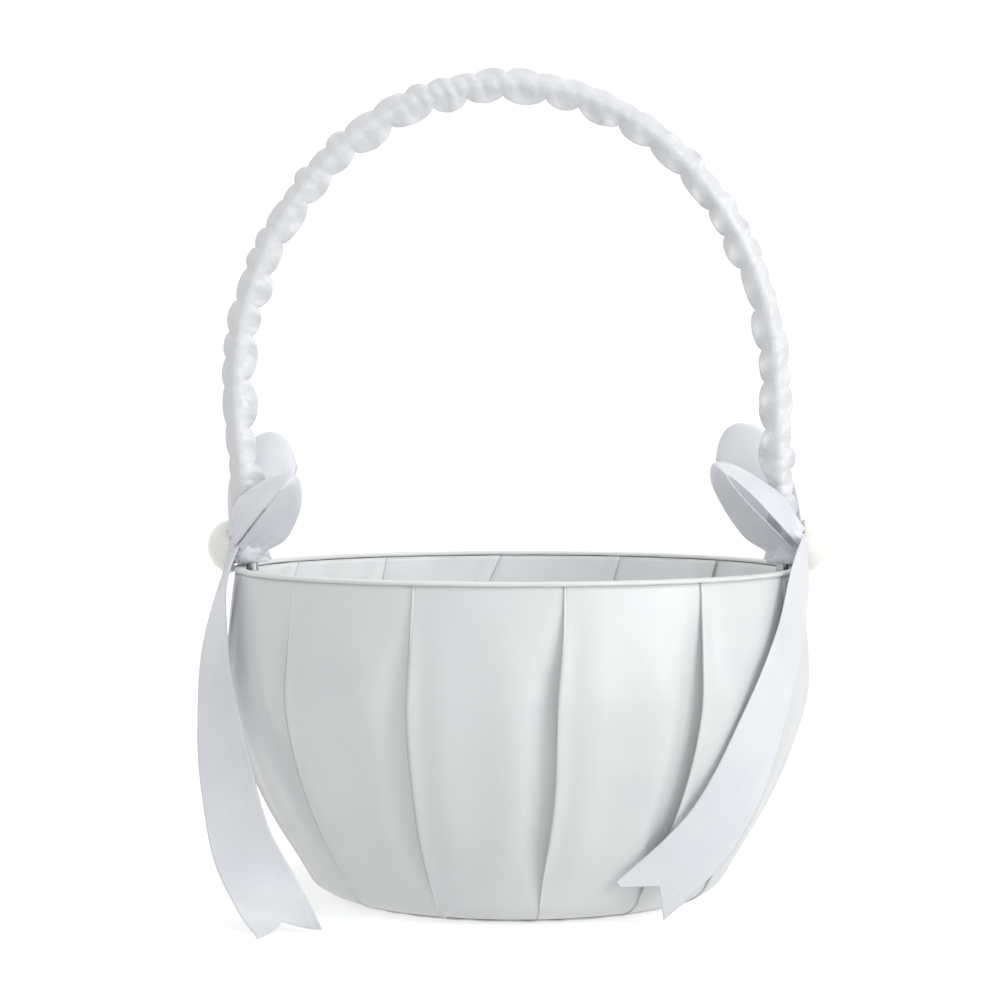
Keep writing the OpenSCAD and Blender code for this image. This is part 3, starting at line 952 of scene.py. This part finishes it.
# ---------------------------------------------------------------- pieces: the bows
def spline(rows, f):
    """Catmull-Rom curve through the rows at shares f of the way along."""
    p = np.asarray(rows, float)
    n = len(p) - 1
    i = np.minimum((f * n).astype(int), n - 1)
    u = (f * n - i)[:, None]
    a, b, c, d = (p[np.clip(i + k, 0, n)] for k in (-1, 0, 1, 2))
    return 0.5 * (2 * b + (c - a) * u + (2 * a - 5 * b + 4 * c - d) * u**2
                  + (3 * b - a - 3 * c + d) * u**3)


# Middle of each tail's ribbon, in mm, and which way its face looks, in degrees from +X towards +Y
# and upwards
DRAPED_ROUTE = [
    (74, -9.3, 89.2, -10, 0), (73.1, -20.3, 87.4, -17, 0), (70.2, -29.2, 80, -24, 0),
    (67.2, -37.5, 68.5, -30, 0), (63, -45.3, 57, -38, 0), (58.6, -49.7, 46.3, -48, 0),
    (53.4, -52, 34.4, -57, 0), (47.2, -53, 24, -62, 0), (39.8, -53.6, 15.9, -64, 0),
    (28.8, -53, 6, -66, 0),
]
HANGING_ROUTE = [
    (-73.4, -9.3, 89.2, -170, 0), (-76, -19, 77.5, -162, 0), (-76.2, -29, 62, -146, 0),
    (-74, -37.5, 47, -128, 0), (-70.6, -45, 31.5, -115, 0), (-66.8, -50.5, 19.5, -102, 8),
    (-60.8, -54.5, 9, -90, 25), (-56.6, -58.8, 3.4, -82, 45), (-54, -64.7, 0.9, -76, 62),
]


def ribbon_edge(off, half):
    """A ribbon's woven edges: thicker within 0.6 mm of each side, as a smooth bump, by the distance
    off the middle and the half width."""
    return np.exp(-(((np.abs(off) - half + 0.55 * MM) / (0.35 * MM)) ** 2)) * 0.07 * MM


def tail_points(route, seed, curl, skew, turn_out):
    """The ribbon along its route. Width grows from the knot as a quarter sine, the middle is lifted
    as a shallow arch that fades out, its end is cut as a skewed swallowtail, and it ripples."""
    f = np.linspace(0, 1, 190)
    q = spline(route, f)
    middle = q[:, :3] * MM
    run = unit(np.gradient(middle, axis=0))
    a, tilt = np.radians(q[:, 3] + turn_out * np.exp(-f / 0.12)), np.radians(q[:, 4])
    face = np.stack([np.cos(a) * np.cos(tilt), np.sin(a) * np.cos(tilt), np.sin(tilt)], axis=1)
    wide = unit(np.cross(face, run))
    face = np.cross(run, wide)
    full = np.sin(np.pi / 2 * np.minimum(1, f / 0.2))
    half = (PINCH_W + (RIBBON_W - PINCH_W) * full) / 2
    v = np.linspace(-1, 1, 41)
    cut = NOTCH * (1 - np.abs(v)) + skew * v
    length = arc_length(middle, 0)
    reach = (length[-1] - cut)[None, :]
    at = length[:, None] / length[-1] * reach
    rows = (*middle.T, *wide.T, *face.T, half)
    along = [np.interp(at.ravel(), length, row).reshape(at.shape) for row in rows]
    m, w, n = (np.stack(along[i:i + 3], axis=-1) for i in (0, 3, 6))
    h = along[9]
    pinch = np.exp(-at / (9 * MM))
    pleats = np.cos(v[None, :] * 3.5 * np.pi) * pinch * 0.5 * MM
    arch = curl * MM * (1 - v[None, :] ** 2) * (1 - pinch)
    ripple = wander(at * 120 + v[None, :] * 0.8, waves(seed, 4, 0.5, 1.8)) * 0.25 * MM * (1 - pinch)
    lift = pleats + arch + ripple + ribbon_edge(v[None, :] * h, h)
    points = m + w * (v[None, :] * h)[..., None] + n * lift[..., None]
    return points, np.stack([np.broadcast_to(v * RIBBON_W / 2, at.shape), at], axis=-1)


def keep_off_wall(points, clear):
    """Points nearer the body's axis than the wall and a clearance are moved out to it."""
    r = np.hypot(points[..., 0], points[..., 1])
    z = points[..., 2]
    least = np.where(z < RIM_TOP + 0.5 * MM, wall_r(np.minimum(z, BODY_H)) + clear, 0)
    points[..., :2] *= np.maximum(1, least / r)[..., None]
    return points


class BASKET_OT_tails(bpy.types.Operator):
    """Make the four ribbon tails"""

    bl_idname = "basket.tails"
    bl_label = "Ribbon tails"

    def execute(self, context):
        for name, body, route, turn, curl in (
            ("right_front", "tail_right_front", DRAPED_ROUTE, (1, 1), 0.5),
            ("right_rear", "tail_right_rear", DRAPED_ROUTE, (1, -1), 0.4),
            ("left_rear", "tail_left_rear", DRAPED_ROUTE, (-1, -1), 0.6),
            ("left_front", "tail_left_front", HANGING_ROUTE, (1, 1), -0.9),
        ):
            self.tail(name, body, route, turn, curl)
        return {"FINISHED"}

    def tail(self, name, body, route, turn, curl):
        """One tail, mirrored by the signs in turn. Its body is not used."""
        draped = route is DRAPED_ROUTE
        skew, turn_out = (SKEW, 0) if draped else (0, 22)
        points, uv = tail_points(route, len(name) + 11, curl, skew, turn_out)
        points[..., 0] *= turn[0]
        points[..., 1] *= turn[1]
        if draped:
            points = keep_off_wall(points, 1.1 * MM)
        points[..., 2] = np.maximum(points[..., 2], 0.35 * MM)
        piece = surface(f"{name}_ribbon_tail", points, uv, flip=turn[0] * turn[1] > 0)
        thicken(piece, RIBBON_T, offset=0.0)
        finish_piece(piece, ribbon_satin(), "ribbon_satin", None, f"{name}_tail")
        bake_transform(piece)


def loop_points(base, tip, up, far, rise, flare, lean, bow, seed):
    """A loop of ribbon from the knot out to a rounded tip and back. With t from 0 to a full turn and
    q = (1 - cos t) / 2 the share of the way out, its height is rise sqrt(1 - q^2), up on the way out
    and down on the way back. The width leans from far towards up by flare in the same way and by lean
    times the half width, and its edges turn back from the tip by bow q^2."""
    base, tip = np.array(base) * MM, np.array(tip) * MM
    t = np.linspace(math.radians(12), math.radians(348), 200)
    long = np.linalg.norm(tip - base)
    out = (tip - base) / long
    across = np.array(up, float)
    across = unit(across - out * (across @ out))
    depth = np.cross(out, across)
    depth = depth * np.sign(depth @ np.array(far, float))
    q = (1 - np.cos(t)) / 2
    layer = np.sign(np.cos(t / 2)) * np.sqrt(1 - q**2) * (0.7 + 0.3 * ease(q / 0.35))
    centre = out * (long * q)[:, None] + across * (rise * MM * layer)[:, None]
    full = np.sin(np.minimum(np.pi / 2, np.radians(150) * q))
    half = (LOOP_PINCH_W + (RIBBON_W - LOOP_PINCH_W) * full) / 2
    sway = np.clip(flare * MM * layer + lean * half, -0.9 * half, 0.9 * half)
    wide = unit(depth * np.sqrt(half**2 - sway**2)[:, None] + across * sway[:, None])
    run = unit(np.gradient(centre, axis=0))
    face = unit(np.cross(run, wide))
    v = np.linspace(-1, 1, 41)
    knot = np.exp(-q / 0.16)[:, None]
    pleats = np.cos(v * 3 * np.pi + 0.6) * knot * 0.6 * MM
    cup = -0.5 * MM * v**2 * (1 - knot)
    ripple = wander(q[:, None] * long * 260 + v * 1.4, waves(seed, 4, 0.5, 1.6)) * 0.3 * MM * (1 - knot)
    lift = pleats + cup + ripple + ribbon_edge(v * half[:, None], half[:, None])
    back = bow * MM * v**2 * q[:, None] ** 2
    points = base + centre[:, None] + wide[:, None] * (v * half[:, None])[..., None]
    points = points + face[:, None] * lift[..., None] - out * back[..., None]
    length = arc_length(centre, 0)
    uv = np.stack(np.broadcast_arrays(v * RIBBON_W / 2, length[:, None]), axis=-1)
    return points, uv, float(length[-1])


UP_RIGHT, UP_LEFT, FORWARD = (1, 0, 1), (-1, 0, 1), (0, -1, 0)
BACK, RIGHT, LEFT = (0, 1, 0), (1, 0, 0), (-1, 0, 0)
# Each loop: name, knot end, tip, way up, way its far edge looks, rise, flare, lean and bow
LOOPS = (
    ("right_bow_front_loop", (71.4, -9, 90.4), (50.5, -14.8, 111.5), UP_RIGHT, BACK, 3.9, 3.2, 0, 2.5),
    ("left_bow_front_loop", (-71.8, -9, 91), (-57, -14.4, 108.5), UP_LEFT, BACK, 4.9, 4.0, 0, 2.5),
    ("right_bow_rear_loop", (71.8, 7.6, 92), (57.5, 16, 121.5), FORWARD, RIGHT, 2.8, 0, 0, 7),
    ("left_bow_rear_loop", (-72.2, 7.6, 92), (-64.5, 15, 119.5), FORWARD, LEFT, 2.8, 0, 0, 7),
)


class BASKET_OT_loops(bpy.types.Operator):
    """Make the four loops of the two bows"""

    bl_idname = "basket.loops"
    bl_label = "Bow loops"

    def execute(self, context):
        for name, *shape in LOOPS:
            points, uv, length = loop_points(*shape, seed=len(name))
            piece = surface(f"{name}_ribbon", points, uv)
            thicken(piece, RIBBON_T, offset=0.0)
            finish_piece(piece, ribbon_satin(), "ribbon_satin", "basket", name)
        return {"FINISHED"}


class BASKET_OT_knots(bpy.types.Operator):
    """Make the gathered ribbon and the wrap that tie each bow to the handle"""

    bl_idname = "basket.knots"
    bl_label = "Bow knots"

    def execute(self, context):
        for side, name in ((-1, "left"), (1, "right")):
            self.gather(side, name)
            self.wrap(side, name)
        return {"FINISHED"}

    def gather(self, side, name):
        """The gathered middle of the bow: an oval bar along Y with domed ends, its radius times one
        plus a sine of the angle for the pleats, cut back round the handle's leg and flat behind the
        pearl."""
        y = np.sin(np.linspace(-1, 1, 80) * math.pi / 2)[:, None]
        b = np.linspace(0, TAU, 120, endpoint=False)[None, :]
        dome = np.sqrt(np.maximum(1 - np.abs(y) ** 3.5, 1e-4))
        pleat = 1 + (0.04 * np.sin(7 * b + 1.5 * y + side) + 0.02 * np.sin(15 * b - 2 * y)) * dome
        wide, high = (np.sign(w) * np.abs(w) ** 0.75 for w in (np.cos(b), np.sin(b)))
        x = KNOT_X + KNOT_WIDE * dome * pleat * wide
        z = KNOT_Z + KNOT_HIGH * np.where(high < 0, dome**0.35, dome) * pleat * high
        z = np.maximum(z, RIM_TOP + 0.1 * MM)
        y = y * KNOT_LONG + 0 * b
        leg = KNEE[0] - (z - KNEE[1]) * LEG_SLOPE[side]
        free = leg + np.sqrt(np.maximum(LEG_ROOM**2 - y**2, 0))
        x = np.where(np.abs(y) < LEG_ROOM, np.maximum(x, free), x)
        x = np.where(np.abs(y) < PEARL_R + 0.3 * MM, np.minimum(x, PEARL_BACK - 0.06 * MM), x)
        points = np.stack([side * x, y, z], axis=-1)
        uv = np.stack(np.broadcast_arrays(b * 4.2 * MM, y), axis=-1)
        piece = surface(f"{name}_knot_gather", points, uv, closed_cols=True, caps=True, flip=side < 0)
        finish_piece(piece, ribbon_satin(), "ribbon_satin", "basket", f"{name}_bow_knot")

    def wrap(self, side, name):
        """The ribbon wound round the handle's leg: a ring whose radius is the sleeve's plus a small
        rounded swell and creases that run round it."""
        h = np.linspace(-1, 1, 60)[:, None]
        b = np.linspace(0, TAU, 96, endpoint=False)[None, :]
        crease = 0.14 * np.sin(h * 9 + 0.8 * np.sin(b) + side) + 0.06 * np.sin(h * 17 + b)
        r = (4.05 + 0.55 * np.sqrt(np.maximum(1 - h**2, 0)) + crease * (1 - h**4)) * MM
        z = KNOT_Z - 0.2 * MM + h * 3.8 * MM
        x = side * (KNEE[0] - (z - KNEE[1]) * LEG_SLOPE[side] + r * np.cos(b))
        points = np.stack([x, r * np.sin(b), np.broadcast_to(z, x.shape)], axis=-1)
        uv = np.stack(np.broadcast_arrays(b * 4.2 * MM, h * 3.8 * MM), axis=-1)
        piece = surface(f"{name}_knot_wrap", points, uv, closed_cols=True, flip=side < 0)
        thicken(piece, 0.3 * MM)
        finish_piece(piece, ribbon_satin(), "ribbon_satin", "basket", f"{name}_bow_knot")


class BASKET_OT_pearls(bpy.types.Operator):
    """Make the flat-backed pearls"""

    bl_idname = "basket.pearls"
    bl_label = "Pearls"

    def execute(self, context):
        c = colours()
        pearl = spun_material(
            "Pearl", c.pearl, tuple(0.93 * v for v in c.pearl), 0.24, 220, 0.00001,
            Coat_Weight=0.8, Coat_Roughness=0.06, Specular_IOR_Level=0.6, Sheen_Weight=0.25,
            Sheen_Roughness=0.3, Subsurface_Weight=0.15, Subsurface_Scale=0.004,
        )
        for side, name in ((-1, "left"), (1, "right")):
            self.pearl(side, name, pearl)
        return {"FINISHED"}

    def pearl(self, side, name, material):
        """Half a ball with a rounded lip: radius is the sine of the polar angle, height its cosine,
        and the lip turns in to a flat back."""
        depth = PEARL_OUT - PEARL_BACK
        a = np.linspace(0.004, math.pi / 2, 60)
        lip = np.linspace(0, math.pi / 2, 9)[1:]
        turn = 0.5 * MM
        r = np.concatenate([PEARL_R * np.sin(a), PEARL_R - turn + turn * np.cos(lip),
                            np.linspace(PEARL_R - turn, 0.02 * PEARL_R, 12)[1:]])
        dome = turn + (depth - turn) * np.cos(a)
        h = np.concatenate([dome, turn - turn * np.sin(lip), np.zeros(11)])
        b = np.linspace(0, TAU, 128, endpoint=False)
        x = side * (PEARL_BACK + h)[:, None] + 0 * b
        points = np.stack([x, r[:, None] * np.cos(b), KNOT_Z + r[:, None] * np.sin(b)], axis=-1)
        piece = surface(f"{name}_pearl_dome", points, closed_cols=True, caps=True, flip=side > 0)
        finish_piece(piece, material, "pearl", "basket", f"{name}_pearl")


# ---------------------------------------------------------------- the hidden parts of the frame
class BASKET_OT_hidden(bpy.types.Operator):
    """Give the moulded bowl, the wire and the staples their finishes"""

    bl_idname = "basket.hidden"
    bl_label = "Bowl, wire and staples"

    def execute(self, context):
        plastic = spun_material("Bowl plastic", (0.78, 0.78, 0.77), (0.70, 0.70, 0.70), 0.5, 700,
                                0.00006, Specular_IOR_Level=0.4)
        steel = spun_material("Drawn steel", (0.60, 0.60, 0.61), (0.48, 0.48, 0.49), 0.3, 500,
                              0.00003, metallic=1.0, stretch=(3, 3, 0.4))
        for node, material, slot in (
            ("bowl_core", plastic, "bowl_plastic"),
            ("handle_wire", steel, "steel"),
            ("leg_staples", steel, "steel"),
        ):
            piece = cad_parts[node]
            piece.data.materials.clear()
            piece.data.materials.append(material)
        return {"FINISHED"}


# ---------------------------------------------------------------- camera, light and backdrop
class BASKET_OT_camera(bpy.types.Operator):
    """Place the camera in front of the basket, a little above its rim"""

    bl_idname = "basket.camera"
    bl_label = "Camera"

    def execute(self, context):
        data = bpy.data.cameras.new("Camera")
        data.lens, data.sensor_width, data.shift_x = CAMERA_LENS, 36, CAMERA_SHIFT
        camera = bpy.data.objects.new("Camera", data)
        camera.location = CAMERA_PLACE
        camera.rotation_euler = (math.pi / 2 - CAMERA_DOWN, 0, 0)
        context.scene.collection.objects.link(camera)
        context.scene.camera = camera
        return {"FINISHED"}


class BASKET_OT_stage(bpy.types.Operator):
    """Make the pale floor that sweeps up behind, and the soft lights"""

    bl_idname = "basket.stage"
    bl_label = "Stage and lights"

    def execute(self, context):
        self.sweep(colours().floor)
        for light in LIGHTS:
            self.light(*light)
        world = bpy.data.worlds.new("Studio")
        world.use_nodes = True
        world.node_tree.nodes["Background"].inputs["Color"].default_value = (1, 1, 1, 1)
        world.node_tree.nodes["Background"].inputs["Strength"].default_value = SKY
        context.scene.world = world
        context.scene.view_settings.view_transform = "Standard"
        return {"FINISHED"}

    def sweep(self, colour):
        """A floor that curves up into a wall on every side: radius runs out flat, then round a
        quarter circle, then straight up."""
        bend = np.linspace(0, math.pi / 2, 24)
        r = np.concatenate([np.linspace(0.001, 1.6, 20), 1.6 + 0.8 * np.sin(bend[1:]), [2.4]])
        z = np.concatenate([np.zeros(20), 0.8 - 0.8 * np.cos(bend[1:]), [2.4]])
        a = np.linspace(0, TAU, 96, endpoint=False)
        points = turned(r[:, None], a, z[:, None])
        floor = surface("Sweep", points, closed_cols=True)
        close_middle(floor, len(a))
        paper = spun_material(
            "Studio paper", tuple(colour), tuple(0.99 * v for v in colour), 0.9, 40, 0.0,
            Specular_IOR_Level=0.1, Emission_Color=(1, 1, 1, 1), Emission_Strength=0.4,
        )
        floor.data.materials.append(paper)
        floor.visible_diffuse = False

    def light(self, name, place, size, power):
        """A soft light of a width and a height that looks at the middle of the basket."""
        data = bpy.data.lights.new(name, "AREA")
        data.shape = "RECTANGLE"
        data.size, data.size_y, data.energy = *size, power
        lamp = bpy.data.objects.new(name, data)
        lamp.location = place
        bpy.context.scene.collection.objects.link(lamp)
        aim = lamp.location.copy()
        aim.z -= 0.08
        lamp.rotation_euler = aim.to_track_quat("Z", "Y").to_euler()


OPERATORS = (
    BASKET_OT_camera, BASKET_OT_cover, BASKET_OT_lining, BASKET_OT_rim, BASKET_OT_padding,
    BASKET_OT_floor_pad, BASKET_OT_base, BASKET_OT_sleeve, BASKET_OT_knots, BASKET_OT_loops,
    BASKET_OT_tails, BASKET_OT_pearls, BASKET_OT_hidden, BASKET_OT_stage,
)


class BASKET_PT_panel(bpy.types.Panel):
    """Lists the basket's pieces and settings"""

    bl_idname = "BASKET_PT_panel"
    bl_label = "Satin flower basket"
    bl_space_type = "VIEW_3D"
    bl_region_type = "UI"
    bl_category = "Basket"

    def draw(self, context):
        layout = self.layout
        for settings in (context.scene.basket_cloth, context.scene.basket_colours):
            box = layout.box()
            for label in settings.bl_rna.properties.keys():
                if label not in {"rna_type", "name"}:
                    box.prop(settings, label)
        for operator in OPERATORS:
            layout.operator(operator.bl_idname)


CLASSES = (BasketCloth, BasketColours, *OPERATORS, BASKET_PT_panel)


def register():
    for cls in CLASSES:
        bpy.utils.register_class(cls)
    bpy.types.Scene.basket_cloth = PointerProperty(type=BasketCloth)
    bpy.types.Scene.basket_colours = PointerProperty(type=BasketColours)


def unregister():
    del bpy.types.Scene.basket_colours
    del bpy.types.Scene.basket_cloth
    for cls in reversed(CLASSES):
        bpy.utils.unregister_class(cls)


def main():
    """Makes every piece in order."""
    register()
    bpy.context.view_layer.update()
    for operator in OPERATORS:
        group, name = operator.bl_idname.split(".")
        getattr(getattr(bpy.ops, group), name)()


if __name__ == "__main__":
    main()
